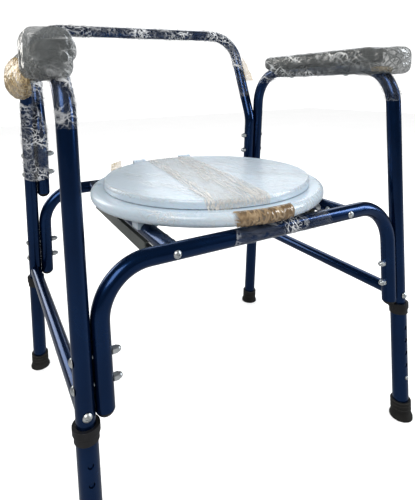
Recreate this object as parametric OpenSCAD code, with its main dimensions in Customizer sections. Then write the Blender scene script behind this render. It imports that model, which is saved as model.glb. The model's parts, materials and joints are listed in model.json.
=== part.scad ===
// Commode chair: a knock-down steel tube frame with height-adjustable legs,
// a lift-off round seat with a hinged lid, and slides for a pail.
// Millimetres. The origin is on the floor under the middle of the chair, +Z is up,
// the front of the chair faces -Y, and left and right are seen from the front.

/* [Frame] */
// Outside diameter of the frame tubes
tube_d = 25; // [19:1:32]
// Wall of every frame tube
tube_wall = 1.5; // [1:0.1:2.5]
// Distance between the centre lines of the left and right legs
leg_gap = 586; // [480:2:720]
// Distance between the front and rear leg centre lines, at the height of the seat frame
leg_depth = 432; // [350:2:540]
// Lean of the front legs, feet forwards, in degrees
front_splay = 3.3; // [0:0.1:6]
// Lean of the rear legs, feet backwards, in degrees
rear_splay = 4.9; // [0:0.1:7]
// Height of the seat frame tubes' centre line
seat_frame_height = 410; // [340:2:500]
// Centre-line radius of the bends of the two cross tubes
cross_bend = 70; // [55:1:84]
// Gap between two tubes that are bolted side by side
side_gap = 0.2; // [0.1:0.05:0.5]

/* [Arms] */
// Height of the arm tubes' centre line above the seat frame
arm_above_seat = 250; // [205:2:300]
// Centre-line radius of the bend at the front of each arm
arm_front_bend = 72; // [55:1:86]
// Centre-line radius of the bend at the rear of each arm
arm_rear_bend = 86; // [70:1:103]
// Length of an armrest pad
pad_length = 312; // [250:2:370]
// Width of an armrest pad
pad_width = 48; // [40:1:58]
// Height of an armrest pad
pad_height = 26; // [20:1:32]
// Depth of the groove that seats a pad on its tube
pad_groove = 3.5; // [2:0.5:5]

/* [Backrest] */
// Lean of the backrest from upright, in degrees
back_tilt = 21; // [10:1:26]
// Length of the backrest from its bend to the top bar's centre line
back_rise = 238; // [190:2:290]
// Centre-line radius of the backrest's top corners
back_corner = 66; // [50:1:80]
// Centre-line radius of the bend where the backrest starts to lean
back_bend = 60; // [45:1:75]

/* [Fasteners] */
// Diameter of the frame bolts
bolt_d = 6; // [5:0.5:7.5]
// Distance between the two bolts of a joint on a leg
bolt_pitch = 35; // [30:1:42]
// Distance between the two bolts that hold the backrest to a leg
back_bolt_pitch = 40; // [34:1:48]
// Diameter of the cross-headed screws
screw_d = 5; // [4:0.5:6]

/* [Leg extensions] */
// Wall of the sliding leg sleeves
sleeve_wall = 1.4; // [1:0.1:2]
// Radial running gap between a leg tube and its sleeve
sleeve_gap = 0.1; // [0.05:0.01:0.1]
// Height of the locking button's centre line when the chair is at its lowest
button_height = 80; // [70:1:95]
// Distance between the holes of a sleeve
hole_pitch = 24; // [20:1:26]
// Number of holes in a sleeve
hole_count = 5; // [3:1:6]
// Diameter of the locking button
button_d = 7; // [5:0.5:8]

/* [Seat and lid] */
// How far the seat ring stands out past the rails' centre lines
seat_overhang = 56; // [45:1:68]
// Width of the seat ring's opening
seat_opening_d = 210; // [175:5:250]
// Thickness of the seat ring
seat_thickness = 21; // [18:1:26]
// How far the middle of the seat lies in front of the middle of the frame
seat_forward = 20; // [0:1:30]
// How far the lid's edge lies inside the seat ring's edge
lid_inset = 25; // [20:1:30]
// Thickness of the lid at its edge
lid_thickness = 16; // [13:1:20]
// Diameter of the lid's hinge pins
hinge_pin_d = 5; // [4:0.5:6]

/* [Pail slides] */
// Length of a pail slide
slide_length = 284; // [240:2:330]
// Height of a pail slide's channel
slide_height = 20; // [16:1:24]
// Width of a pail slide's channel
slide_width = 22; // [18:1:26]
// Thickness of a pail slide's sheet
slide_wall = 2; // [1.5:0.1:2.5]

/* [Hidden] */
$fn = 64;
LEFT = -1;
RIGHT = 1;
FRONT = -1;
REAR = 1;

NAVY = [0.04, 0.07, 0.16];
BLACK = [0.06, 0.06, 0.065];
ZINC = [0.75, 0.76, 0.78];
PALE = [0.80, 0.86, 0.92];
OLIVE_GREY = [0.30, 0.32, 0.30];

// An extra length for cutters, so that no two faces of a cut coincide
past = 1;
// A bend is a hair thicker than the straights that run into it, so the two join cleanly
bend_swell = 0.06;
bend_lap = 1;
tube_r = tube_d / 2;
tube_bore_r = tube_r - tube_wall;
// Distance between the centre lines of two tubes that are bolted side by side
pair_step = tube_d + side_gap;
leg_x = leg_gap / 2;
inner_x = leg_x - pair_step;
arm_height = seat_frame_height + arm_above_seat;
leg_end_height = 58;

// Bolts of a cross tube, below the end of its bend, and the tube's lower end
bolt_below_bend = 38;
end_below_bolt = 36;
cross_bolt_high = seat_frame_height - cross_bend - bolt_below_bend;
cross_bolt_low = cross_bolt_high - bolt_pitch;
cross_end_height = cross_bolt_low - end_below_bolt;
plug_dome = 9;
plug_dome_r = (tube_r * tube_r + plug_dome * plug_dome) / (2 * plug_dome);
plug_depth = 14;
plug_gap = 0.1;

// The backrest's uprights end just above the bends of the rear cross tube
back_end_gap = 11;
bend_outer_r = cross_bend + tube_r;
upright_over_bend = cross_bend - tube_r - side_gap;
back_end_height = seat_frame_height - cross_bend + back_end_gap
    + sqrt(bend_outer_r * bend_outer_r - upright_over_bend * upright_over_bend);
bolt_above_back_end = 45;
bend_above_bolt = 47;
back_bolt_low = back_end_height + bolt_above_back_end;
back_bolt_high = back_bolt_low + back_bolt_pitch;
back_bend_height = back_bolt_high + bend_above_bolt;

// Leg extensions
collar_below_cross = 1;
collar_top = cross_end_height - plug_dome - collar_below_cross;
collar_flange_h = 9;
collar_h = 19;
collar_lip = 4;
collar_flange = 4.9;
collar_skirt = 1.8;
sleeve_bore_r = tube_r + sleeve_gap;
sleeve_r = sleeve_bore_r + sleeve_wall;
sleeve_bottom = 8;
sleeve_top = collar_top - collar_lip;
foot_top = 33;
foot_wall = 3.2;
foot_flare = 2.8;
foot_rib = 0.6;
foot_rib_h = 3;
foot_rib_heights = [16, 23, 29];
foot_below_floor = 3;
foot_band = 3;
hole_d = button_d + 0.8;
button_gap = 0.1;
button_travel = 5.4;
button_tip = sleeve_r + 3;
button_flange_d = button_d + 3;
button_flange_h = 1.4;
button_seat_r = sqrt(tube_bore_r * tube_bore_r - button_flange_d * button_flange_d / 4) - 0.2;
spring_t = 0.8;
spring_w = 7;
spring_length = 46;

// Side bars, between the legs on each side, just above the collars
side_bar_d = tube_d - 3;
side_bar_height = collar_top + 5 + side_bar_d / 2;
cope_gap = 0.1;
insert_gap = 0.1;
insert_length = 50;
insert_recess = 2;
bar_insert_length = 25;
rail_screw_bite = 5;

// Seat rails, between the cross tubes, inside their bends
rail_from_bend = 35.8;
rail_x = inner_x - cross_bend - rail_from_bend;
rail_y = leg_depth / 2;
insert_screw_from_end = [27, 50];

// Seat ring, its saddles on the rails, and the lid
seat_y = -seat_forward;
seat_r = rail_x + seat_overhang;
seat_lift = 5.5;
seat_bottom = seat_frame_height + tube_r + seat_lift;
seat_top = seat_bottom + seat_thickness;
seat_edge_r = 9;
seat_wall = 3.5;
seat_rib_count = 12;
rib_half_turn = 180 / seat_rib_count;
boss_d = 28;
boss_cover = 2;
saddle_gap = 0.3;
saddle_y = 90;
saddle_length = 24;
saddle_width = 34;
saddle_grip = 9;
saddle_screw_d = 4;
saddle_head_d = 7;
saddle_head_h = 2.2;
lid_r = seat_r - lid_inset;
lid_gap = 1;
lid_bottom = seat_top + lid_gap;
lid_edge_r = 8;
lid_wall = 3;
lid_crown = 2.5;
buffer_d = 10;
buffer_h = 2;
buffer_gap = 0.3;
buffer_count = 4;
buffer_from_edge = 16;
buffer_boss_wall = 2;

// Lid hinge: ears on the seat ring, a tongue of the lid between each pair of ears
hinge_wall = 4;
hinge_from_edge = 12;
hinge_above_seat = 2.5;
hinge_r = hinge_pin_d / 2 + hinge_wall;
hinge_y = seat_y + seat_r - hinge_from_edge;
hinge_z = seat_top + hinge_r + hinge_above_seat;
hinge_x = 58;
tongue_w = 15;
tongue_lap = 12;
ear_w = 6;
ear_gap = 0.5;
pin_gap = 0.08;

// Pail slides under the rails
slide_front_y = -134;
slide_top = seat_frame_height - tube_r - 0.1;
slide_screw_d = 4;
slide_screw_from_end = 30;

// Heads and nuts
head_d = 2.05 * bolt_d;
head_h = 0.6 * bolt_d;
hole_gap = 0.2;
nut_flats = 1.7 * bolt_d;
nut_h = 1.1 * bolt_d;
nut_dome_r = 0.72 * bolt_d;
cross_slot_w = 1.3;
cross_slot_depth = 1.6;

// Armrest pads
pad_middle_y = -14;
pad_bottom = arm_height + tube_r - pad_groove;
pad_edge_r = 8;
pad_foot_r = 3;
pad_screw_from_end = 75;
pad_screw_y = [
    pad_middle_y - pad_length / 2 + pad_screw_from_end,
    pad_middle_y + pad_length / 2 - pad_screw_from_end
];
pad_screw_depth = 14;

function splay(end) = end == FRONT ? front_splay : rear_splay;
function leg_y(end, height) =
    end * (leg_depth / 2 + tan(splay(end)) * (seat_frame_height - height));
// How far from a leg's axis a level screw's head clears the leg, which leans
function head_stand(end) = tube_r / cos(splay(end)) + tan(splay(end)) * head_d / 2;
// Place along a leg's own axis, from the seat frame, of a point at a given height
function along(end, height) = (height - seat_frame_height) / cos(splay(end));

// The origin is half-way between the front of the front feet and the back of the top bar
function front_face() = leg_y(FRONT, 0) - sleeve_r - foot_wall - foot_flare;
function rear_face() = leg_y(REAR, back_bend_height) + sin(back_tilt) * back_rise + tube_r;
function middle_y() = (front_face() + rear_face()) / 2;

function unit(v) = v / norm(v);
function turn(a, b, c) =
    atan2((b - a)[0] * (c - b)[1] - (b - a)[1] * (c - b)[0], (b - a) * (c - b));
function set_back(a, b, c, r) = r * tan(abs(turn(a, b, c)) / 2);

// Moves a piece from the legs' own middle to the chair's origin
module placed() {
    translate([0, -middle_y(), 0]) children();
}

module mirror_if(yes, v) {
    if (yes) mirror(v) children();
    else children();
}

// A leg's own frame: +X away from the chair, -Y away from it too, +Z up along the leg,
// from the point of the leg's axis at the height of the seat frame
module at_leg(side, end) {
    translate([side * leg_x, end * leg_depth / 2, seat_frame_height])
        mirror_if(side == LEFT, [1, 0, 0])
            mirror_if(end == REAR, [0, 1, 0])
                rotate([-splay(end), 0, 0])
                    children();
}

// A straight round bar from a to b, longer by the given lengths at its two ends
module straight_bar(a, b, d, before, after) {
    translate([a[0], a[1], 0])
        rotate([0, 0, atan2((b - a)[1], (b - a)[0])])
            translate([-before, 0, 0])
                rotate([0, 90, 0])
                    cylinder(h = norm(b - a) + before + after, d = d);
}

// The bend of a round bar that comes from a, turns at b and leaves for c
module bar_bend(a, b, c, r, d) {
    angle = turn(a, b, c);
    hand = sign(angle);
    ahead = unit(b - a);
    middle = b - ahead * set_back(a, b, c, r) + hand * r * [-ahead[1], ahead[0]];
    translate([middle[0], middle[1], 0])
        rotate([0, 0, atan2(ahead[1], ahead[0]) - 90 * hand + min(angle, 0)])
            rotate_extrude(angle = abs(angle))
                translate([r, 0])
                    circle(d = d + 2 * bend_swell);
}

// A round bar along a flat path, with a bend of the given radius at each inner point
module bent_bar(path, bends, d, extend = 0) {
    last = len(path) - 1;
    for (i = [0 : last - 1]) {
        a = path[i];
        b = path[i + 1];
        before = i == 0 ? extend : bend_lap - set_back(path[i - 1], a, b, bends[i - 1]);
        after = i == last - 1 ? extend : bend_lap - set_back(a, b, path[i + 2], bends[i]);
        straight_bar(a, b, d, before, after);
    }
    for (i = [1 : last - 1]) bar_bend(path[i - 1], path[i], path[i + 1], bends[i - 1], d);
}

// Flat paths drawn in X and Y stand upright: across the chair, or from front to rear
module across() {
    rotate([90, 0, 0]) children();
}

module front_to_rear() {
    rotate([90, 0, 90]) children();
}

// A bolt hole along a leg's X axis, through both tubes of a pair
module pair_hole(height_along, d) {
    translate([-pair_step - tube_d, 0, height_along])
        rotate([0, 90, 0])
            cylinder(h = pair_step + 2 * tube_d, d = d);
}

// ---- frame tubes ----

module arm_bar(d, extend = 0) {
    path = [
        [leg_y(FRONT, leg_end_height), leg_end_height],
        [leg_y(FRONT, arm_height), arm_height],
        [leg_y(REAR, arm_height), arm_height],
        [leg_y(REAR, leg_end_height), leg_end_height]
    ];
    front_to_rear() bent_bar(path, [arm_front_bend, arm_rear_bend], d, extend);
}

module arm_frame(side) {
    color(NAVY) difference() {
        translate([side * leg_x, 0, 0]) arm_bar(tube_d);
        translate([side * leg_x, 0, 0]) arm_bar(tube_d - 2 * tube_wall, past);
        for (end = [FRONT, REAR]) at_leg(side, end) {
            for (height = [cross_bolt_low, cross_bolt_high])
                pair_hole(along(end, height), bolt_d + hole_gap);
            // hole of the locking button, on the outer face only
            translate([0, 0, along(end, button_height)])
                rotate([90, 0, 0])
                    cylinder(h = tube_d, d = button_d + 2 * button_gap);
        }
        // holes of the side bar's screws, right through the legs
        for (end = [FRONT, REAR])
            translate([side * leg_x, leg_y(end, side_bar_height) + tube_d, side_bar_height])
                rotate([90, 0, 0])
                    cylinder(h = 2 * tube_d, d = screw_d + hole_gap);
        at_leg(side, REAR)
            for (height = [back_bolt_low, back_bolt_high])
                pair_hole(along(REAR, height), bolt_d + hole_gap);
        for (y = pad_screw_y)
            translate([side * leg_x, y, arm_height - tube_d])
                cylinder(h = 2 * tube_d, d = screw_d + hole_gap);
    }
}

module cross_bar(end, d, extend = 0) {
    low = along(end, cross_end_height);
    translate([0, end * leg_depth / 2, seat_frame_height])
        rotate([end * splay(end), 0, 0])
            across()
                bent_bar([[-inner_x, low], [-inner_x, 0], [inner_x, 0], [inner_x, low]],
                    [cross_bend, cross_bend], d, extend);
}

module cross_tube(end) {
    color(NAVY) difference() {
        cross_bar(end, tube_d);
        cross_bar(end, tube_d - 2 * tube_wall, past);
        for (side = [LEFT, RIGHT]) {
            at_leg(side, end)
                for (height = [cross_bolt_low, cross_bolt_high])
                    pair_hole(along(end, height), bolt_d + hole_gap);
            translate([side * rail_x, end * leg_depth / 2 + tube_d, seat_frame_height])
                rotate([90, 0, 0])
                    cylinder(h = 2 * tube_d, d = screw_d + hole_gap);
        }
    }
}

module front_cross_tube() {
    cross_tube(FRONT);
}

module rear_cross_tube() {
    cross_tube(REAR);
}

module back_bar(d, extend = 0) {
    foot = [leg_y(REAR, back_end_height), back_end_height];
    bend = [leg_y(REAR, back_bend_height), back_bend_height];
    beyond = bend + [sin(back_tilt), cos(back_tilt)];
    lean_start = set_back(foot, bend, beyond, back_bend);
    for (side = [LEFT, RIGHT])
        translate([side * inner_x, 0, 0])
            front_to_rear() {
                straight_bar(foot, bend, d, extend, bend_lap - lean_start);
                bar_bend(foot, bend, beyond, back_bend, d);
            }
    translate([0, bend[0], bend[1]])
        rotate([-back_tilt, 0, 0])
            across()
                bent_bar([[-inner_x, lean_start], [-inner_x, back_rise],
                    [inner_x, back_rise], [inner_x, lean_start]],
                    [back_corner, back_corner], d, bend_lap);
}

module backrest_tube() {
    color(NAVY) difference() {
        back_bar(tube_d);
        back_bar(tube_d - 2 * tube_wall, past);
        for (side = [LEFT, RIGHT], height = [back_bolt_low, back_bolt_high])
            at_leg(side, REAR) pair_hole(along(REAR, height), bolt_d + hole_gap);
    }
}

// A tube from front to rear at a given place, its ends coped to the tubes that it meets
module coped_bar(x, z, d) {
    difference() {
        translate([x, leg_y(REAR, z), z])
            rotate([90, 0, 0])
                cylinder(h = leg_y(REAR, z) - leg_y(FRONT, z), d = d);
        translate([x, leg_y(REAR, z) + past, z])
            rotate([90, 0, 0])
                cylinder(h = leg_y(REAR, z) - leg_y(FRONT, z) + 2 * past, d = d - 2 * tube_wall);
        children();
    }
}

module side_bar(side) {
    color(NAVY) coped_bar(side * leg_x, side_bar_height, side_bar_d)
        for (end = [FRONT, REAR]) at_leg(side, end)
            translate([0, 0, along(end, side_bar_height) - tube_d])
                cylinder(h = 2 * tube_d, r = tube_r + cope_gap);
}

module seat_rail(side) {
    color(NAVY) coped_bar(side * rail_x, seat_frame_height, tube_d) {
        for (end = [FRONT, REAR]) {
            translate([side * rail_x - tube_d, end * rail_y, seat_frame_height])
                rotate([0, 90, 0])
                    cylinder(h = 2 * tube_d, r = tube_r + cope_gap);
            for (from_end = insert_screw_from_end)
                translate([side * rail_x, end * (rail_y - from_end), seat_frame_height])
                    rotate([0, -90 * side, 0])
                        cylinder(h = tube_d, d = screw_d + hole_gap);
        }
        for (y = slide_screw_places())
            translate([side * rail_x, y, seat_frame_height - tube_d])
                cylinder(h = tube_d, d = slide_screw_d + hole_gap);
    }
}

// ---- plugs and inserts ----

module tube_plug() {
    cylinder(h = plug_depth, r = tube_bore_r - plug_gap);
    intersection() {
        translate([0, 0, -plug_dome]) cylinder(h = plug_dome, r = tube_d);
        translate([0, 0, plug_dome_r - plug_dome]) sphere(r = plug_dome_r);
    }
}

module tube_end_plugs() {
    color(BLACK) {
        at_each_leg_end() tube_plug();
        for (side = [LEFT, RIGHT])
            at_leg(side, REAR)
                translate([-pair_step, 0, along(REAR, back_end_height)])
                    tube_plug();
    }
}

module at_each_leg_end() {
    for (side = [LEFT, RIGHT], end = [FRONT, REAR])
        at_leg(side, end)
            translate([-pair_step, 0, along(end, cross_end_height)])
                children();
}

// A plug inside the end of a bar, bored as deep as the screw that holds the bar needs
module bar_insert(d, length, bore) {
    rotate([-90, 0, 0])
        difference() {
            cylinder(h = length, r = d / 2 - tube_wall - insert_gap);
            translate([0, 0, -past]) cylinder(h = bore + past, d = screw_d);
        }
}

module rail_inserts() {
    color(BLACK) for (side = [LEFT, RIGHT], end = [FRONT, REAR])
        difference() {
            translate([side * rail_x, end * rail_y, seat_frame_height])
                mirror_if(end == REAR, [0, 1, 0])
                    translate([0, tube_r + insert_recess, 0])
                        bar_insert(tube_d, insert_length, rail_screw_bite + past);
            for (from_end = insert_screw_from_end)
                translate([side * rail_x, end * (rail_y - from_end), seat_frame_height])
                    rotate([0, -90 * side, 0])
                        cylinder(h = tube_d, d = screw_d);
        }
}

module side_bar_inserts() {
    color(BLACK) for (side = [LEFT, RIGHT], end = [FRONT, REAR])
        translate([side * leg_x, leg_y(end, side_bar_height), side_bar_height])
            mirror_if(end == REAR, [0, 1, 0])
                translate([0, tube_r + insert_recess, 0])
                    bar_insert(side_bar_d, bar_insert_length, bar_insert_length / 2 + past);
}

// ---- fasteners ----

// A domed head with a cross recess, its flat face at the origin, its shank along -Z
module cross_screw(d, head, height, length) {
    ball_r = (head * head / 4 + height * height) / (2 * height);
    difference() {
        intersection() {
            cylinder(h = height, d = head);
            translate([0, 0, height - ball_r]) sphere(r = ball_r);
        }
        for (angle = [0, 90])
            rotate([0, 0, angle])
                translate([-head / 4, -cross_slot_w / 2, height - cross_slot_depth])
                    cube([head / 2, cross_slot_w, cross_slot_depth + past]);
    }
    translate([0, 0, -length]) cylinder(h = length, d = d);
}

module dome_nut() {
    cylinder(h = nut_h, d = nut_flats / cos(30), $fn = 6);
    translate([0, 0, nut_h - past]) cylinder(h = past + nut_dome_r / 3, r = nut_dome_r);
    translate([0, 0, nut_h + nut_dome_r / 3])
        intersection() {
            sphere(r = nut_dome_r);
            cylinder(h = nut_dome_r, r = nut_dome_r);
        }
}

module frame_bolt(height_along) {
    translate([tube_r, 0, height_along])
        rotate([0, 90, 0])
            cross_screw(bolt_d, head_d, head_h, pair_step + tube_d);
}

module frame_nut(height_along) {
    translate([-pair_step - tube_r, 0, height_along]) rotate([0, -90, 0]) dome_nut();
}

module cross_bolts() {
    color(ZINC) for (side = [LEFT, RIGHT], end = [FRONT, REAR], height = [cross_bolt_low, cross_bolt_high])
        at_leg(side, end) frame_bolt(along(end, height));
}

module cross_nuts() {
    color(ZINC) for (side = [LEFT, RIGHT], end = [FRONT, REAR], height = [cross_bolt_low, cross_bolt_high])
        at_leg(side, end) frame_nut(along(end, height));
}

module back_bolts() {
    color(ZINC) for (side = [LEFT, RIGHT], height = [back_bolt_low, back_bolt_high])
        at_leg(side, REAR) frame_bolt(along(REAR, height));
}

module back_nuts() {
    color(ZINC) for (side = [LEFT, RIGHT], height = [back_bolt_low, back_bolt_high])
        at_leg(side, REAR) frame_nut(along(REAR, height));
}

module side_bar_screws() {
    color(ZINC) for (side = [LEFT, RIGHT], end = [FRONT, REAR])
        translate([side * leg_x, leg_y(end, side_bar_height) + end * head_stand(end), side_bar_height])
            rotate([-90 * end, 0, 0])
                cross_screw(screw_d, head_d, head_h, tube_d + bar_insert_length / 2);
}

module rail_screws() {
    color(ZINC) for (side = [LEFT, RIGHT], end = [FRONT, REAR])
        translate([side * rail_x, end * (rail_y + tube_r), seat_frame_height])
            rotate([-90 * end, 0, 0])
                cross_screw(screw_d, head_d, head_h, tube_d + insert_recess + rail_screw_bite);
}

module insert_screws() {
    color(ZINC) for (side = [LEFT, RIGHT], end = [FRONT, REAR], from_end = insert_screw_from_end)
        translate([side * (rail_x - tube_r), end * (rail_y - from_end), seat_frame_height])
            rotate([0, -90 * side, 0])
                cross_screw(screw_d, head_d, head_h, tube_r - screw_d / 2);
}

module armrest_screws() {
    color(ZINC) for (side = [LEFT, RIGHT], y = pad_screw_y)
        translate([side * leg_x, y, arm_height - tube_r])
            rotate([180, 0, 0])
                cross_screw(screw_d, head_d, head_h, tube_d + pad_screw_depth);
}

function slide_screw_places() = [
    slide_front_y + slide_screw_from_end,
    slide_front_y + slide_length - slide_screw_from_end
];

module pail_slide_screws() {
    color(ZINC) for (side = [LEFT, RIGHT], y = slide_screw_places())
        translate([side * rail_x, y, slide_top - slide_wall])
            rotate([180, 0, 0])
                cross_screw(slide_screw_d, 2 * slide_screw_d, slide_screw_d / 2,
                    slide_wall + 2 * tube_wall + slide_screw_d);
}

// ---- armrests and pail slides ----

module armrest(side) {
    half = pad_length / 2;
    color(BLACK) difference() {
        hull()
            for (x = [-1, 1], y = [-1, 1])
                translate([side * leg_x, pad_middle_y, pad_bottom]) {
                    translate([x * (pad_width / 2 - pad_edge_r), y * (half - pad_edge_r),
                        pad_height - pad_edge_r])
                        sphere(r = pad_edge_r, $fn = 32);
                    translate([x * (pad_width / 2 - pad_foot_r), y * (half - pad_foot_r), 0])
                        cylinder(h = pad_foot_r, r = pad_foot_r, $fn = 32);
                }
        translate([side * leg_x, pad_middle_y + half + past, arm_height])
            rotate([90, 0, 0])
                cylinder(h = pad_length + 2 * past, r = tube_r + cope_gap);
        for (y = pad_screw_y)
            translate([side * leg_x, y, arm_height])
                cylinder(h = tube_r + pad_screw_depth, d = screw_d);
    }
}

// A channel that is open towards the middle of the chair, under a rail
module pail_slide(side) {
    inner_h = slide_height - 2 * slide_wall;
    color(OLIVE_GREY) difference() {
        translate([side * rail_x - slide_width / 2, slide_front_y, slide_top - slide_height])
            cube([slide_width, slide_length, slide_height]);
        translate([side * rail_x - slide_width / 2 - side * slide_wall, slide_front_y - past,
            slide_top - slide_wall - inner_h])
            cube([slide_width, slide_length + 2 * past, inner_h]);
        for (y = slide_screw_places())
            translate([side * rail_x, y, slide_top - slide_wall - past])
                cylinder(h = slide_wall + 2 * past, d = slide_screw_d + hole_gap);
    }
}

// ---- leg extensions ----

module leg_sleeve(side, end) {
    bottom = along(end, sleeve_bottom);
    length = along(end, sleeve_top) - bottom;
    color(NAVY) at_leg(side, end) difference() {
        translate([0, 0, bottom]) cylinder(h = length, r = sleeve_r);
        translate([0, 0, bottom - past]) cylinder(h = length + 2 * past, r = sleeve_bore_r);
        for (i = [0 : hole_count - 1])
            translate([0, 0, along(end, button_height) + i * hole_pitch])
                rotate([90, 0, 0])
                    cylinder(h = tube_d, d = hole_d);
    }
}

module leg_collar(side, end) {
    color(BLACK) at_leg(side, end)
        translate([0, 0, along(end, collar_top) - collar_h])
            difference() {
                union() {
                    cylinder(h = collar_h, r = sleeve_r + collar_skirt);
                    translate([0, 0, collar_h - collar_flange_h])
                        cylinder(h = collar_flange_h, r = tube_r + collar_flange);
                }
                translate([0, 0, -past]) cylinder(h = collar_h - collar_lip + past, r = sleeve_r);
                cylinder(h = collar_h + past, r = sleeve_bore_r);
            }
}

// A ferrule, flared to its sole, with ribs around it, from the floor up along its leg
module foot_body() {
    foot_r = sleeve_r + foot_wall;
    difference() {
        union() {
            cylinder(h = foot_top, r = foot_r);
            for (height = foot_rib_heights)
                translate([0, 0, height]) cylinder(h = foot_rib_h, r = foot_r + foot_rib);
            translate([0, 0, foot_band])
                cylinder(h = foot_top / 3 - foot_band, r1 = foot_r + foot_flare, r2 = foot_r);
            translate([0, 0, -foot_below_floor])
                cylinder(h = foot_below_floor + foot_band, r = foot_r + foot_flare);
        }
        translate([0, 0, sleeve_bottom]) cylinder(h = foot_top, r = sleeve_r);
    }
}

module rubber_foot(side, end) {
    color(BLACK) intersection() {
        at_leg(side, end) translate([0, 0, along(end, 0)]) foot_body();
        translate([-leg_gap, -leg_depth - leg_gap, 0])
            cube([2 * leg_gap, 2 * (leg_depth + leg_gap), 2 * foot_top]);
    }
}

// A domed button on the outer face of a leg, with a flange inside the tube
module snap_button(side, end) {
    dome_h = button_d / 3;
    dome_r = (button_d * button_d / 4 + dome_h * dome_h) / (2 * dome_h);
    color(ZINC) at_leg(side, end)
        translate([0, 0, along(end, button_height)])
            rotate([90, 0, 0]) {
                translate([0, 0, button_seat_r - button_flange_h])
                    cylinder(h = button_flange_h, d = button_flange_d);
                translate([0, 0, button_seat_r - button_flange_h])
                    cylinder(h = button_tip - dome_h - button_seat_r + button_flange_h, d = button_d);
                intersection() {
                    translate([0, 0, button_tip - dome_h - past])
                        cylinder(h = dome_h + past, d = button_d);
                    translate([0, 0, button_tip - dome_r]) sphere(r = dome_r);
                }
            }
}

// A leaf spring, bent over at its top, that presses a button outwards
module leaf_spring() {
    fold_r = tube_bore_r / 2;
    behind = button_seat_r - button_flange_h - spring_t - 0.2;
    front_to_rear() translate([0, 0, -spring_w / 2]) linear_extrude(spring_w) {
        // the leaf behind the button
        translate([-behind - spring_t, -spring_length / 6])
            square([spring_t, spring_length]);
        // the leaf along the far wall
        translate([2 * fold_r - behind - spring_t - spring_t, -spring_length / 6])
            square([spring_t, spring_length]);
        translate([fold_r - behind - spring_t, spring_length * 5 / 6])
            difference() {
                circle(r = fold_r);
                circle(r = fold_r - spring_t);
                translate([-tube_d, -tube_d]) square([2 * tube_d, tube_d]);
            }
    }
}

module snap_springs() {
    color(ZINC) for (side = [LEFT, RIGHT], end = [FRONT, REAR])
        at_leg(side, end) translate([0, 0, along(end, button_height)]) leaf_spring();
}

// ---- seat and lid ----

// Half of a flat ring's section with a round outer edge
module round_edged(inner, outer, height, edge) {
    translate([inner, 0]) square([outer - edge - inner, height]);
    translate([inner, edge]) square([outer - inner, height - 2 * edge]);
    for (z = [edge, height - edge]) translate([outer - edge, z]) circle(r = edge);
}

module seat_section() {
    opening_r = seat_opening_d / 2;
    difference() {
        round_edged(opening_r, seat_r, seat_thickness, seat_edge_r);
        translate([opening_r + seat_wall, -past])
            square([seat_r - opening_r - seat_edge_r - seat_wall, seat_thickness - seat_wall + past]);
    }
}

function saddle_spots() = [
    for (side = [LEFT, RIGHT], y = [-saddle_y, saddle_y]) [side * rail_x, seat_y + y]
];

module seat_ribs() {
    opening_r = seat_opening_d / 2;
    for (i = [0 : seat_rib_count - 1])
        rotate([0, 0, i * 2 * rib_half_turn])
            translate([opening_r + seat_wall / 2, -seat_wall / 2, seat_wall])
                cube([seat_r - opening_r - seat_edge_r, seat_wall, seat_thickness - 1.5 * seat_wall]);
}

module hinge_ear(x) {
    translate([x, hinge_y, hinge_z]) rotate([0, 90, 0]) cylinder(h = ear_w, r = hinge_r);
    translate([x, hinge_y - hinge_r, seat_top - seat_wall / 2])
        cube([ear_w, 2 * hinge_r, hinge_z - seat_top + seat_wall / 2]);
}

module seat_ring() {
    inner_ear = tongue_w / 2 + ear_gap + ear_w;
    outer_ear = tongue_w / 2 + ear_gap;
    color(PALE) difference() {
        union() {
            translate([0, seat_y, seat_bottom]) {
                rotate_extrude() seat_section();
                seat_ribs();
            }
            for (spot = saddle_spots())
                translate([spot[0], spot[1], seat_bottom])
                    cylinder(h = seat_thickness - seat_wall / 2, d = boss_d);
            for (side = [LEFT, RIGHT]) {
                hinge_ear(side * hinge_x - inner_ear);
                hinge_ear(side * hinge_x + outer_ear);
            }
        }
        for (spot = saddle_spots())
            translate([spot[0], spot[1], seat_bottom - past])
                cylinder(h = seat_thickness - seat_wall - boss_cover + past, d = saddle_screw_d);
        for (side = [LEFT, RIGHT])
            translate([side * hinge_x - inner_ear - past, hinge_y, hinge_z])
                rotate([0, 90, 0])
                    cylinder(h = 2 * (inner_ear + past), d = hinge_pin_d);
    }
}

// Blocks under the seat that straddle the rails, so that the seat lifts straight off
module seat_saddles() {
    saddle_bottom = seat_frame_height + tube_r - saddle_grip;
    color(PALE) for (spot = saddle_spots())
        difference() {
            translate([spot[0] - saddle_width / 2, spot[1] - saddle_length / 2, saddle_bottom])
                cube([saddle_width, saddle_length, seat_bottom - saddle_bottom]);
            translate([spot[0], spot[1] + saddle_length, seat_frame_height])
                rotate([90, 0, 0])
                    cylinder(h = 2 * saddle_length, r = tube_r + saddle_gap);
            translate([spot[0], spot[1], saddle_bottom])
                cylinder(h = 2 * saddle_grip + seat_lift, d = saddle_screw_d);
            translate([spot[0], spot[1], saddle_bottom])
                cylinder(h = saddle_grip + saddle_gap + saddle_head_h, d = saddle_head_d + hole_gap);
        }
}

module saddle_screws() {
    color(ZINC) for (spot = saddle_spots())
        translate([spot[0], spot[1], seat_frame_height + tube_r + saddle_gap + saddle_head_h])
            rotate([180, 0, 0])
                cross_screw(saddle_screw_d, saddle_head_d, saddle_head_h - 0.1,
                    seat_lift - saddle_gap - saddle_head_h + seat_thickness - seat_wall
                        - boss_cover - past);
}

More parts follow.
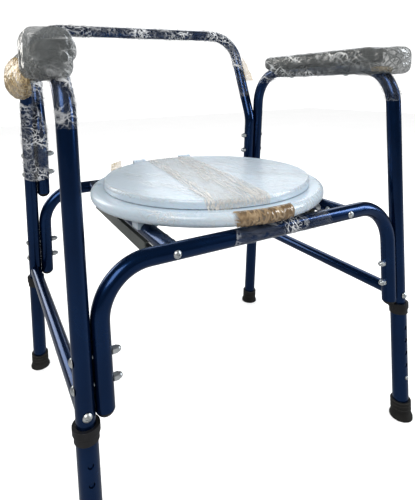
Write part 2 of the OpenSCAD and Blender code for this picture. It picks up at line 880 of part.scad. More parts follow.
module lid_section(grow) {
    crown_r = lid_r * lid_r / (2 * lid_crown);
    top = lid_thickness - grow;
    intersection() {
        union() {
            square([lid_r - grow - lid_edge_r, top]);
            square([lid_r - grow, top - lid_edge_r]);
            translate([lid_r - grow - lid_edge_r, top - lid_edge_r]) circle(r = lid_edge_r);
        }
        translate([0, top - crown_r]) circle(r = crown_r, $fn = 360);
        square([lid_r, lid_thickness]);
    }
}

function buffer_spots() = [
    for (i = [0 : buffer_count - 1])
        (lid_r - buffer_from_edge) * [cos(45 + 90 * i), sin(45 + 90 * i)]
];

module lid_tongue(side) {
    tongue_front = seat_y + lid_r - 2 * lid_edge_r - tongue_lap;
    translate([side * hinge_x - tongue_w / 2, hinge_y, hinge_z])
        rotate([0, 90, 0])
            cylinder(h = tongue_w, r = hinge_r);
    translate([side * hinge_x - tongue_w / 2, tongue_front, hinge_z - hinge_r])
        cube([tongue_w, hinge_y - tongue_front, hinge_r]);
}

module lid() {
    color(PALE) difference() {
        union() {
            translate([0, seat_y, lid_bottom]) {
                difference() {
                    rotate_extrude() lid_section(0);
                    translate([0, 0, -0.01]) rotate_extrude() lid_section(lid_wall);
                }
                for (spot = buffer_spots())
                    translate([spot[0], spot[1], buffer_h - lid_gap + buffer_gap])
                        cylinder(h = lid_thickness - lid_wall - lid_crown - buffer_h + lid_gap + 1,
                            d = buffer_d + 2 * buffer_boss_wall);
            }
            for (side = [LEFT, RIGHT]) lid_tongue(side);
        }
        for (side = [LEFT, RIGHT])
            translate([side * hinge_x - tongue_w, hinge_y, hinge_z])
                rotate([0, 90, 0])
                    cylinder(h = 2 * tongue_w, r = hinge_pin_d / 2 + pin_gap);
    }
}

module lid_pins() {
    length = tongue_w + 2 * (ear_gap + ear_w) + 1;
    color(ZINC) for (side = [LEFT, RIGHT])
        translate([side * hinge_x - length / 2, hinge_y, hinge_z])
            rotate([0, 90, 0])
                cylinder(h = length, d = hinge_pin_d);
}

module lid_buffers() {
    color(BLACK) translate([0, seat_y, lid_bottom - lid_gap + buffer_gap])
        for (spot = buffer_spots())
            translate([spot[0], spot[1], 0]) cylinder(h = buffer_h, d = buffer_d);
}

placed() arm_frame(LEFT);  // arm_frame_left
placed() arm_frame(RIGHT);  // arm_frame_right
placed() front_cross_tube();
placed() rear_cross_tube();
placed() backrest_tube();
placed() side_bar(LEFT);  // side_bar_left
placed() side_bar(RIGHT);  // side_bar_right
placed() seat_rail(LEFT);  // seat_rail_left
placed() seat_rail(RIGHT);  // seat_rail_right
placed() pail_slide(LEFT);  // pail_slide_left
placed() pail_slide(RIGHT);  // pail_slide_right
placed() armrest(LEFT);  // armrest_left
placed() armrest(RIGHT);  // armrest_right
placed() cross_bolts();
placed() cross_nuts();
placed() back_bolts();
placed() back_nuts();
placed() side_bar_screws();
placed() rail_screws();
placed() insert_screws();
placed() armrest_screws();
placed() pail_slide_screws();
placed() tube_end_plugs();
placed() rail_inserts();
placed() side_bar_inserts();
placed() leg_sleeve(LEFT, FRONT);  // leg_sleeve_front_left
placed() leg_sleeve(RIGHT, FRONT);  // leg_sleeve_front_right
placed() leg_sleeve(LEFT, REAR);  // leg_sleeve_rear_left
placed() leg_sleeve(RIGHT, REAR);  // leg_sleeve_rear_right
placed() leg_collar(LEFT, FRONT);  // leg_collar_front_left
placed() leg_collar(RIGHT, FRONT);  // leg_collar_front_right
placed() leg_collar(LEFT, REAR);  // leg_collar_rear_left
placed() leg_collar(RIGHT, REAR);  // leg_collar_rear_right
placed() rubber_foot(LEFT, FRONT);  // rubber_foot_front_left
placed() rubber_foot(RIGHT, FRONT);  // rubber_foot_front_right
placed() rubber_foot(LEFT, REAR);  // rubber_foot_rear_left
placed() rubber_foot(RIGHT, REAR);  // rubber_foot_rear_right
placed() snap_button(LEFT, FRONT);  // snap_button_front_left
placed() snap_button(RIGHT, FRONT);  // snap_button_front_right
placed() snap_button(LEFT, REAR);  // snap_button_rear_left
placed() snap_button(RIGHT, REAR);  // snap_button_rear_right
placed() snap_springs();
placed() seat_ring();
placed() seat_saddles();
placed() saddle_screws();
placed() lid();
placed() lid_pins();
placed() lid_buffers();
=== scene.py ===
import json
import math

import bmesh
import bpy
from mathutils import Matrix, Vector


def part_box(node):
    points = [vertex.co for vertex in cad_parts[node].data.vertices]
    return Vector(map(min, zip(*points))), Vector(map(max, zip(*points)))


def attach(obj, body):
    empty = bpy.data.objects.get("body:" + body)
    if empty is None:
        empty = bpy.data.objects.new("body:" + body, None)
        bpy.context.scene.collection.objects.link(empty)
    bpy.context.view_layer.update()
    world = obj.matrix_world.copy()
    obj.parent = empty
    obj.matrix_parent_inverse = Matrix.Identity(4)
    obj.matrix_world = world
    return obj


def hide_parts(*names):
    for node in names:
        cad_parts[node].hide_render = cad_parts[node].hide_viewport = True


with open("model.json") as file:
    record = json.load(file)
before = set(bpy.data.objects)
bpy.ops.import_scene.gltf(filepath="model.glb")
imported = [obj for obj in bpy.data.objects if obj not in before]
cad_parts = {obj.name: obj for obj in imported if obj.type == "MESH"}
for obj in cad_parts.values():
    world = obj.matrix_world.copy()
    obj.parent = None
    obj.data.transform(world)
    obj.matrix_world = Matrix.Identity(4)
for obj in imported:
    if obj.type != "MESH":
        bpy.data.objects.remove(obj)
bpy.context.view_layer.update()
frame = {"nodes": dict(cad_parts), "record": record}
nodes = frame["nodes"]
print("frame loaded:", len(nodes), "nodes")


# small tools for modelling

def deselectAll():
    if bpy.context.object and bpy.context.object.mode != "OBJECT":
        bpy.ops.object.mode_set(mode="OBJECT")
    bpy.ops.object.select_all(action="DESELECT")


def useOnly(piece):
    deselectAll()
    piece.select_set(True)
    bpy.context.view_layer.objects.active = piece


def startEdit(piece):
    useOnly(piece)
    bpy.ops.object.mode_set(mode="EDIT")
    bpy.ops.mesh.select_all(action="DESELECT")


def pick(piece, kind, test):  # selects by place or normal, in edit mode
    bpy.ops.mesh.select_mode(type=kind)
    mesh = bmesh.from_edit_mesh(piece.data)
    chosen = {"VERT": mesh.verts, "EDGE": mesh.edges, "FACE": mesh.faces}[kind]
    for item in chosen:
        item.select_set(bool(test(item)))
    mesh.select_flush_mode()
    bmesh.update_edit_mesh(piece.data)


def bakePlace(piece):  # the place goes into the mesh, so the object sits at the origin
    useOnly(piece)
    bpy.ops.object.transform_apply(location=True, rotation=True, scale=True)


def addModifier(piece, kind, **values):
    useOnly(piece)
    modifier = piece.modifiers.new(kind.lower(), kind)
    for key, value in values.items():
        setattr(modifier, key, value)
    bpy.ops.object.modifier_apply(modifier=modifier.name)


def finishPiece(piece, body, material, angle=40):
    bakePlace(piece)
    bpy.ops.object.shade_smooth_by_angle(angle=math.radians(angle))
    piece.data.materials.clear()
    piece.data.materials.append(material)
    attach(piece, body)


# effects that several materials share

def newGroup(name, inputs, outputs):
    group = bpy.data.node_groups.new(name, "ShaderNodeTree")
    for label, kind, value in inputs:
        socket = group.interface.new_socket(name=label, in_out="INPUT", socket_type=kind)
        if value is not None:
            socket.default_value = value
    for label, kind in outputs:
        group.interface.new_socket(name=label, in_out="OUTPUT", socket_type=kind)
    return group, group.nodes.new("NodeGroupInput"), group.nodes.new("NodeGroupOutput")


def addNode(tree, kind, inputs=None, **values):
    node = tree.nodes.new(kind)
    for key, value in values.items():
        setattr(node, key, value)
    for key, value in (inputs or {}).items():
        node.inputs[key].default_value = value
    return node


def join(tree, source, target):
    tree.links.new(source, target)


def rampOf(tree, factor, stops, interpolation="LINEAR"):
    ramp = addNode(tree, "ShaderNodeValToRGB")
    ramp.color_ramp.interpolation = interpolation
    while len(ramp.color_ramp.elements) < len(stops):
        ramp.color_ramp.elements.new(0.5)
    for element, (position, colour) in zip(ramp.color_ramp.elements, stops):
        element.position = position
        element.color = (*colour, 1)
    join(tree, factor, ramp.inputs["Fac"])
    return ramp.outputs["Color"]


def grey(value):
    return (value, value, value)


def makeGrain():  # fine relief and slow patches, from one pair of noises
    tree, start, end = newGroup(
        "grain",
        [("Scale", "NodeSocketFloat", 300.0), ("Patch Scale", "NodeSocketFloat", 12.0)],
        [("Height", "NodeSocketFloat"), ("Patches", "NodeSocketFloat")])
    place = addNode(tree, "ShaderNodeTexCoord")
    fine = addNode(tree, "ShaderNodeTexNoise", {"Detail": 4.0, "Roughness": 0.6})
    slow = addNode(tree, "ShaderNodeTexNoise", {"Detail": 5.0, "Roughness": 0.62, "Distortion": 0.4})
    join(tree, place.outputs["Object"], fine.inputs["Vector"])
    join(tree, place.outputs["Object"], slow.inputs["Vector"])
    join(tree, start.outputs["Scale"], fine.inputs["Scale"])
    join(tree, start.outputs["Patch Scale"], slow.inputs["Scale"])
    join(tree, fine.outputs["Fac"], end.inputs["Height"])
    join(tree, slow.outputs["Fac"], end.inputs["Patches"])
    return tree


def makeEdges():  # rounds the sharp edges and marks them
    tree, start, end = newGroup(
        "edges",
        [("Radius", "NodeSocketFloat", 0.0006), ("Gain", "NodeSocketFloat", 4.0)],
        [("Normal", "NodeSocketVector"), ("Mask", "NodeSocketFloat")])
    soft = addNode(tree, "ShaderNodeBevel", samples=4)
    flat = addNode(tree, "ShaderNodeNewGeometry")
    dot = addNode(tree, "ShaderNodeVectorMath", operation="DOT_PRODUCT")
    less = addNode(tree, "ShaderNodeMath", {0: 1.0}, operation="SUBTRACT")
    gain = addNode(tree, "ShaderNodeMath", operation="MULTIPLY", use_clamp=True)
    join(tree, start.outputs["Radius"], soft.inputs["Radius"])
    join(tree, soft.outputs["Normal"], dot.inputs[0])
    join(tree, flat.outputs["Normal"], dot.inputs[1])
    join(tree, dot.outputs["Value"], less.inputs[1])
    join(tree, less.outputs["Value"], gain.inputs[0])
    join(tree, start.outputs["Gain"], gain.inputs[1])
    join(tree, soft.outputs["Normal"], end.inputs["Normal"])
    join(tree, gain.outputs["Value"], end.inputs["Mask"])
    return tree


def makeCrinkle():  # long thin creases that wander, and the patches where they gather
    tree, start, end = newGroup(
        "crinkle",
        [("Vector", "NodeSocketVector", None), ("Scale", "NodeSocketFloat", 40.0),
         ("Width", "NodeSocketFloat", 0.05)],
        [("Creases", "NodeSocketFloat"), ("Patches", "NodeSocketFloat"), ("Height", "NodeSocketFloat")])
    folds = addNode(tree, "ShaderNodeTexNoise", {"Detail": 0.6, "Roughness": 0.5, "Distortion": 0.12})
    level = addNode(tree, "ShaderNodeMath", {1: 0.5}, operation="SUBTRACT")
    both = addNode(tree, "ShaderNodeMath", operation="ABSOLUTE")
    near = addNode(tree, "ShaderNodeMath", operation="DIVIDE", use_clamp=True)
    crease = addNode(tree, "ShaderNodeMath", {0: 1.0}, operation="SUBTRACT")
    gather = addNode(tree, "ShaderNodeTexNoise", {"Scale": 15.0, "Detail": 4.0, "Distortion": 0.8})
    join(tree, start.outputs["Vector"], folds.inputs["Vector"])
    join(tree, start.outputs["Scale"], folds.inputs["Scale"])
    join(tree, start.outputs["Vector"], gather.inputs["Vector"])
    join(tree, folds.outputs["Fac"], level.inputs[0])
    join(tree, level.outputs["Value"], both.inputs[0])
    join(tree, both.outputs["Value"], near.inputs[0])
    join(tree, start.outputs["Width"], near.inputs[1])
    join(tree, near.outputs["Value"], crease.inputs[1])
    join(tree, crease.outputs["Value"], end.inputs["Creases"])
    join(tree, gather.outputs["Fac"], end.inputs["Patches"])
    join(tree, folds.outputs["Fac"], end.inputs["Height"])
    return tree


grainGroup = makeGrain()
edgeGroup = makeEdges()
crinkleGroup = makeCrinkle()
print("effects ready")


# materials

def newMaterial(name, **values):
    material = bpy.data.materials.new(name)
    material.use_nodes = True
    tree = material.node_tree
    shader = tree.nodes["Principled BSDF"]
    for key, value in values.items():
        shader.inputs[key.replace("_", " ")].default_value = value
    return material, tree, shader


def place(tree, group, **values):
    node = addNode(tree, "ShaderNodeGroup", node_tree=group)
    for key, value in values.items():
        node.inputs[key.replace("_", " ")].default_value = value
    return node


def bumpOn(tree, shader, height, strength, distance, under=None):
    bump = addNode(tree, "ShaderNodeBump", {"Strength": strength, "Distance": distance})
    join(tree, height, bump.inputs["Height"])
    if under:
        join(tree, under, bump.inputs["Normal"])
    join(tree, bump.outputs["Normal"], shader.inputs["Normal"])


def plainFinish(name, finish):  # a grained solid colour with patches and lighter edges
    material, tree, shader = newMaterial(name, **finish["shader"])
    grain = place(tree, grainGroup, Scale=finish["grain"], Patch_Scale=finish["patches"])
    edges = place(tree, edgeGroup, Radius=finish["edge"], Gain=finish["edgeGain"])
    tint = rampOf(tree, grain.outputs["Patches"], [(0.3, finish["dark"]), (0.7, finish["light"])])
    worn = addNode(tree, "ShaderNodeMix", data_type="RGBA")
    worn.inputs[7].default_value = (*finish["worn"], 1)
    join(tree, edges.outputs["Mask"], worn.inputs[0])
    join(tree, tint, worn.inputs[6])
    join(tree, worn.outputs[2], shader.inputs["Base Color"])
    low, high = finish["roughness"]
    rough = rampOf(tree, grain.outputs["Patches"], [(0.25, grey(low)), (0.75, grey(high))])
    join(tree, rough, shader.inputs["Roughness"])
    bumpOn(tree, shader, grain.outputs["Height"], finish["bump"], 0.0004, edges.outputs["Normal"])
    return material


finishes = {
    "navyCoat": {
        "shader": {"Metallic": 0.85, "Coat_Weight": 0.35, "Coat_Roughness": 0.04, "Coat_IOR": 1.45},
        "grain": 260.0, "patches": 9.0, "edge": 0.0008, "edgeGain": 1.0,
        "dark": (0.003, 0.022, 0.075), "light": (0.005, 0.034, 0.110), "worn": (0.02, 0.06, 0.13),
        "roughness": (0.20, 0.30), "bump": 0.03},
    "paleShell": {
        "shader": {"Coat_Weight": 0.4, "Coat_Roughness": 0.22, "Subsurface_Weight": 0.08,
                   "Subsurface_Scale": 0.01},
        "grain": 140.0, "patches": 7.0, "edge": 0.0012, "edgeGain": 1.0,
        "dark": (0.42, 0.50, 0.57), "light": (0.49, 0.565, 0.63), "worn": (0.58, 0.65, 0.70),
        "roughness": (0.24, 0.36), "bump": 0.03},
    "slideCoat": {
        "shader": {"Metallic": 0.3, "Coat_Weight": 0.3, "Coat_Roughness": 0.2},
        "grain": 420.0, "patches": 14.0, "edge": 0.0006, "edgeGain": 2.0,
        "dark": (0.075, 0.085, 0.08), "light": (0.12, 0.13, 0.12), "worn": (0.25, 0.26, 0.25),
        "roughness": (0.34, 0.5), "bump": 0.08},
    "zincPlate": {
        "shader": {"Metallic": 1.0},
        "grain": 500.0, "patches": 90.0, "edge": 0.0004, "edgeGain": 2.0,
        "dark": (0.60, 0.64, 0.66), "light": (0.80, 0.82, 0.82), "worn": (0.9, 0.92, 0.93),
        "roughness": (0.30, 0.46), "bump": 0.05},
    "springSteel": {
        "shader": {"Metallic": 1.0},
        "grain": 600.0, "patches": 60.0, "edge": 0.0002, "edgeGain": 2.0,
        "dark": (0.30, 0.31, 0.33), "light": (0.46, 0.46, 0.47), "worn": (0.7, 0.7, 0.72),
        "roughness": (0.25, 0.45), "bump": 0.1},
    "mouldedBlack": {
        "shader": {"Specular_IOR_Level": 0.45},
        "grain": 700.0, "patches": 40.0, "edge": 0.0007, "edgeGain": 2.0,
        "dark": (0.007, 0.007, 0.008), "light": (0.018, 0.018, 0.02), "worn": (0.05, 0.05, 0.055),
        "roughness": (0.38, 0.55), "bump": 0.15},
    "blackRubber": {
        "shader": {"Specular_IOR_Level": 0.35},
        "grain": 520.0, "patches": 30.0, "edge": 0.0009, "edgeGain": 2.5,
        "dark": (0.008, 0.008, 0.008), "light": (0.026, 0.025, 0.024), "worn": (0.07, 0.07, 0.068),
        "roughness": (0.5, 0.75), "bump": 0.25},
}
materials = {name: plainFinish(name, finish) for name, finish in finishes.items()}


def padLeather():  # black self-skinned foam with a fine pebbled grain
    material, tree, shader = newMaterial("padLeather", Specular_IOR_Level=0.5)
    where = addNode(tree, "ShaderNodeTexCoord")
    pebbles = addNode(tree, "ShaderNodeTexVoronoi", {"Scale": 620.0, "Randomness": 0.9}, feature="F1")
    grain = place(tree, grainGroup, Scale=900.0, Patch_Scale=26.0)
    height = addNode(tree, "ShaderNodeMath", operation="MULTIPLY")
    tint = rampOf(tree, grain.outputs["Patches"], [(0.3, grey(0.010)), (0.7, (0.022, 0.022, 0.025))])
    rough = rampOf(tree, grain.outputs["Patches"], [(0.25, grey(0.40)), (0.75, grey(0.58))])
    join(tree, where.outputs["Object"], pebbles.inputs["Vector"])
    join(tree, pebbles.outputs["Distance"], height.inputs[0])
    join(tree, grain.outputs["Height"], height.inputs[1])
    join(tree, tint, shader.inputs["Base Color"])
    join(tree, rough, shader.inputs["Roughness"])
    bumpOn(tree, shader, height.outputs["Value"], 0.5, 0.0008)
    return material


def wrapFilm(name, look):  # see-through film, whiter where it creases and gathers: partly the film's own creased whitening, partly a painted highlight along the folds
    material, tree, shader = newMaterial(name, Roughness=look["roughness"], Specular_IOR_Level=0.8)
    where = addNode(tree, "ShaderNodeTexCoord")
    layers = []
    for turn, scale in ((look["turn"], look["scale"]), (look["cross"], look["scale"] * 1.9)):
        turned = addNode(tree, "ShaderNodeMapping", vector_type="TEXTURE")
        turned.inputs["Rotation"].default_value = turn
        turned.inputs["Scale"].default_value = look["stretch"]
        crinkle = place(tree, crinkleGroup, Scale=scale, Width=look["width"])
        join(tree, where.outputs["Object"], turned.inputs["Vector"])
        join(tree, turned.outputs["Vector"], crinkle.inputs["Vector"])
        layers.append(crinkle)
    long, short = layers
    creases = addNode(tree, "ShaderNodeMath", operation="MAXIMUM")
    creaseSheenMask = addNode(tree, "ShaderNodeMath", operation="MULTIPLY")
    height = addNode(tree, "ShaderNodeMath", operation="ADD")
    join(tree, long.outputs["Creases"], creases.inputs[0])
    join(tree, short.outputs["Creases"], creases.inputs[1])
    # where the creases gather the film turns white and less clear: partly real whitening, partly a painted
    # highlight on the folds
    patches = rampOf(tree, long.outputs["Patches"], [(0.43, grey(0.0)), (0.62, grey(look["whiteness"]))])
    join(tree, creases.outputs["Value"], creaseSheenMask.inputs[0])
    join(tree, patches, creaseSheenMask.inputs[1])
    clear, cloudy = look["alpha"]
    haze = rampOf(tree, short.outputs["Patches"], [(0.38, grey(clear)), (0.70, grey(cloudy))])
    alpha = addNode(tree, "ShaderNodeMath", operation="ADD", use_clamp=True)
    join(tree, creaseSheenMask.outputs["Value"], alpha.inputs[0])
    join(tree, haze, alpha.inputs[1])
    join(tree, alpha.outputs["Value"], shader.inputs["Alpha"])
    # the crease colour along the creases is partly the film's own whitening and partly a painted highlight
    tint = rampOf(tree, creaseSheenMask.outputs["Value"], [(0.0, look["base"]), (1.0, look["crease"])])
    join(tree, tint, shader.inputs["Base Color"])
    join(tree, long.outputs["Height"], height.inputs[0])
    join(tree, short.outputs["Height"], height.inputs[1])
    bumpOn(tree, shader, height.outputs["Value"], look["bump"], 0.004)
    return material


# the crease colours and whiteness are partly white creased film and partly a painted highlight on the folds
filmLooks = {
    "stretchFilm": {"roughness": 0.12, "turn": (0.4, 0.5, 0.9), "cross": (-0.6, 0.2, -0.6),
                    "stretch": (1.0, 8.0, 1.0), "scale": 75.0, "width": 0.05, "whiteness": 0.7,
                    "alpha": (0.01, 0.06), "base": (0.50, 0.51, 0.52), "crease": (0.93, 0.94, 0.95),
                    "bump": 0.35},
    "padWrap": {"roughness": 0.14, "turn": (0.5, 0.6, 0.8), "cross": (-0.5, 0.3, -0.4),
                "stretch": (1.0, 8.0, 1.0), "scale": 70.0, "width": 0.05, "whiteness": 0.7,
                "alpha": (0.28, 0.50), "base": (0.19, 0.20, 0.20), "crease": (0.85, 0.86, 0.86),
                "bump": 0.6},
    "lidFilm": {"roughness": 0.1, "turn": (0.0, 0.0, 0.25), "cross": (0.2, 0.0, 1.0),
                "stretch": (1.0, 14.0, 3.0), "scale": 120.0, "width": 0.06, "whiteness": 0.5,
                "alpha": (0.02, 0.12), "base": (0.62, 0.63, 0.62), "crease": (0.95, 0.95, 0.95),
                "bump": 0.25},
    "lidTape": {"roughness": 0.32, "turn": (0.0, 0.0, -0.14), "cross": (0.0, 0.0, -0.30),
                "stretch": (1.0, 18.0, 3.0), "scale": 150.0, "width": 0.07, "whiteness": 0.6,
                "alpha": (0.10, 0.30), "base": (0.44, 0.38, 0.31), "crease": (0.90, 0.88, 0.84),
                "bump": 0.4},
    "edgeTape": {"roughness": 0.16, "turn": (0.0, 0.0, 0.1), "cross": (0.4, 0.0, 0.5),
                 "stretch": (1.0, 5.0, 2.0), "scale": 90.0, "width": 0.06, "whiteness": 0.6,
                 "alpha": (0.70, 0.92), "base": (0.16, 0.105, 0.055), "crease": (0.62, 0.50, 0.34),
                 "bump": 0.6},
    "looseTape": {"roughness": 0.14, "turn": (0.9, 0.1, 0.4), "cross": (0.2, 0.7, -0.8),
                  "stretch": (1.0, 4.0, 1.5), "scale": 110.0, "width": 0.06, "whiteness": 0.7,
                  "alpha": (0.36, 0.60), "base": (0.40, 0.28, 0.12), "crease": (0.80, 0.70, 0.52),
                  "bump": 0.8},
}
materials["padLeather"] = padLeather()
for name, look in filmLooks.items():
    materials[name] = wrapFilm(name, look)

finishOfSlot = {
    "navy_powder_coat": "navyCoat", "grey_slide": "slideCoat", "zinc_plate": "zincPlate",
    "spring_steel": "springSteel", "black_plastic": "mouldedBlack", "black_rubber": "blackRubber",
    "pale_plastic": "paleShell", "black_pad": "padLeather"}
for part in frame["record"]["subparts"]:
    node = nodes[part["node"]]
    node.data.materials.clear()
    node.data.materials.append(materials[finishOfSlot[part["material_slot"]]])
print("materials ready")


# armrest pads: foam with its own skin, soft edges, a seam round the side, a groove for the tube

pad = {"edge": 0.0095, "corner": 0.015, "seam": 0.0007, "seamHeight": 0.45, "touch": 0.0001,
       "tube": 0.0126, "tubeBelowTop": 0.009, "cutsAlong": (0.12, 0.3, 0.5, 0.7, 0.88),
       "cutsAcross": (-0.2, 0.0, 0.2)}


def makePad(side):
    node = "armrest_" + side
    low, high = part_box(node)
    size, middle = high - low, (low + high) / 2
    deselectAll()
    bpy.ops.mesh.primitive_cube_add(size=1, location=middle, scale=size)
    piece = bpy.context.object
    piece.name = "armPad_" + side
    bakePlace(piece)
    startEdit(piece)
    pick(piece, "EDGE", lambda e: abs((e.verts[0].co - e.verts[1].co).z) > 0.9 * size.z)
    bpy.ops.mesh.bevel(offset=pad["corner"], segments=6, profile=0.5)
    pick(piece, "EDGE", lambda e: min(v.co.z for v in e.verts) > high.z - pad["touch"])
    bpy.ops.mesh.bevel(offset=pad["edge"], segments=5, profile=0.55)
    pick(piece, "EDGE", lambda e: max(v.co.z for v in e.verts) < low.z + pad["touch"])
    bpy.ops.mesh.bevel(offset=pad["edge"] / 3, segments=2)
    for share in pad["cutsAlong"]:
        bpy.ops.mesh.select_all(action="SELECT")
        bpy.ops.mesh.bisect(plane_co=(middle.x, low.y + share * size.y, middle.z), plane_no=(0, 1, 0))
    for across in pad["cutsAcross"]:
        bpy.ops.mesh.select_all(action="SELECT")
        bpy.ops.mesh.bisect(plane_co=(middle.x + across * size.x, 0, 0), plane_no=(1, 0, 0))
    seamZ = low.z + pad["seamHeight"] * size.z
    for offset in (-1, 0, 1):
        bpy.ops.mesh.select_all(action="SELECT")
        bpy.ops.mesh.bisect(plane_co=(0, 0, seamZ + offset * pad["seam"]), plane_no=(0, 0, 1))
    pick(piece, "VERT", lambda v: abs(v.co.z - seamZ) < pad["seam"] / 4)
    bpy.ops.transform.shrink_fatten(value=-pad["seam"])
    bpy.ops.object.mode_set(mode="OBJECT")
    deselectAll()
    bpy.ops.mesh.primitive_cylinder_add(
        vertices=48, radius=pad["tube"], depth=size.y * 1.2,
        location=(middle.x, middle.y, low.z - pad["tubeBelowTop"]), rotation=(math.pi / 2, 0, 0))
    groove = bpy.context.object
    addModifier(piece, "BOOLEAN", object=groove, operation="DIFFERENCE", solver="EXACT")
    bpy.data.objects.remove(groove)
    finishPiece(piece, "frame", materials["padLeather"], angle=35)
    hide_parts(node)


for side in ("left", "right"):
    makePad(side)
print("armrest pads done")


# stretch film that the makers leave on: skins shrunk over the pads, the bends and the back bar

chair = {"legX": 0.293, "tubeR": 0.0125, "innerX": 0.2678, "legDepth": 0.432, "seatHeight": 0.410,
         "armHeight": 0.660, "frontLean": 3.3, "rearLean": 4.9, "frontBend": 0.072, "rearBend": 0.086,
         "backLean": 21.0, "backBendHeight": 0.54235, "backRise": 0.238, "backCorner": 0.066,
         "middleY": 0.021402}
film = {"over": 0.0022, "voxel": 0.004, "folds": 0.0042, "foldSize": 0.024, "creases": 0.0020,
        "creaseSize": 0.007, "thick": 0.0003}


def legY(end, height):  # the leg's centre line, front (-1) or rear (1)
    lean = chair["frontLean"] if end < 0 else chair["rearLean"]
    spread = math.tan(math.radians(lean)) * (chair["seatHeight"] - height)
    return end * (chair["legDepth"] / 2 + spread) - chair["middleY"]


def joinPieces(pieces, name):
    deselectAll()
    for piece in pieces:
        piece.select_set(True)
    bpy.context.view_layer.objects.active = pieces[0]
    bpy.ops.object.join()
    joined = bpy.context.object
    joined.name = name
    bakePlace(joined)
    return joined


def barCore(name, points, radius):  # round runs with a ball at each turn
    runs = []
    for a, b in zip(points, points[1:]):
        a, b = Vector(a), Vector(b)
        deselectAll()
        bpy.ops.mesh.primitive_cylinder_add(
            vertices=24, radius=radius, depth=(b - a).length, location=(a + b) / 2,
            rotation=(b - a).to_track_quat("Z", "Y").to_euler())
        runs.append(bpy.context.object)
        deselectAll()
        bpy.ops.mesh.primitive_uv_sphere_add(segments=24, ring_count=12, radius=radius, location=b)
        runs.append(bpy.context.object)
    return joinPieces(runs, name)


def bendPoints(start, corner, end, radius, cuts=7):
    start, corner, end = Vector(start), Vector(corner), Vector(end)
    into, out = (corner - start).normalized(), (end - corner).normalized()
    turn = into.angle(out)
    first = corner - into * radius * math.tan(turn / 2)
    inwards = (out - into * out.dot(into)).normalized()
    centre = first + inwards * radius
    return [centre + (into * math.sin(turn * i / cuts) - inwards * math.cos(turn * i / cuts)) * radius
            for i in range(cuts + 1)]


def hullOf(piece):
    startEdit(piece)
    bpy.ops.mesh.select_all(action="SELECT")
    bpy.ops.mesh.convex_hull()
    bpy.ops.object.mode_set(mode="OBJECT")
    return piece


def wrinkle(piece, label, size, depth, level):
    texture = bpy.data.textures.new(piece.name + label, "CLOUDS")
    texture.noise_scale = size
    texture.noise_depth = 2
    addModifier(piece, "DISPLACE", texture=texture, strength=depth, mid_level=level)


def shrinkFilm(piece, smooth, openings, loose=1.0):  # one skin, cut open where it ends
    addModifier(piece, "REMESH", mode="VOXEL", voxel_size=film["voxel"])
    addModifier(piece, "SMOOTH", factor=0.5, iterations=smooth)
    wrinkle(piece, "Folds", film["foldSize"], film["folds"] * loose, 0.40)
    wrinkle(piece, "Creases", film["creaseSize"], film["creases"] * loose, 0.45)
    startEdit(piece)
    for spot, outwards in openings:
        bpy.ops.mesh.select_all(action="SELECT")
        bpy.ops.mesh.bisect(plane_co=spot, plane_no=outwards, clear_outer=True)
    bpy.ops.object.mode_set(mode="OBJECT")
    addModifier(piece, "SOLIDIFY", thickness=film["thick"], offset=-1)


def declareFilm(piece, faces=1):
    mesh = bmesh.new()
    mesh.from_mesh(piece.data)
    area = sum(face.calc_area() for face in mesh.faces) / faces
    mesh.free()


lumps = {"left": {"out": 0.014, "down": 0.007, "size": (0.029, 0.036, 0.031), "ends": 0.604},
         "right": {"out": 0.002, "down": 0.013, "size": (0.026, 0.054, 0.025), "ends": 0.622}}
tapes = {"left": {"place": (-0.316, 0.020, 0.652), "size": (0.025, 0.105, 0.036), "cut": (1, 0, 0.3)},
         "right": {"place": (0.298, -0.192, 0.655), "size": (0.018, 0.026, 0.016), "cut": (0.2, 0.1, 1)}}
tails = {
    "tapeTail_back": {"body": "frame", "place": (0.272, 0.196, 0.672), "turn": (90, 0, 90),
                      "size": (0.052, 0.062), "taper": 0.9, "held": "hung", "on": "backrest_tube"},
    "tapeTail_seat": {"body": "seat", "place": (-0.119, 0.152, 0.458), "turn": (80, 0, 45),
                      "size": (0.056, 0.016), "taper": 0.2, "held": "laid", "on": "seat_ring"},
}


def ballAt(place, size):
    deselectAll()
    bpy.ops.mesh.primitive_ico_sphere_add(subdivisions=3, radius=1, location=place)
    ball = bpy.context.object
    ball.scale = size
    bakePlace(ball)
    return ball


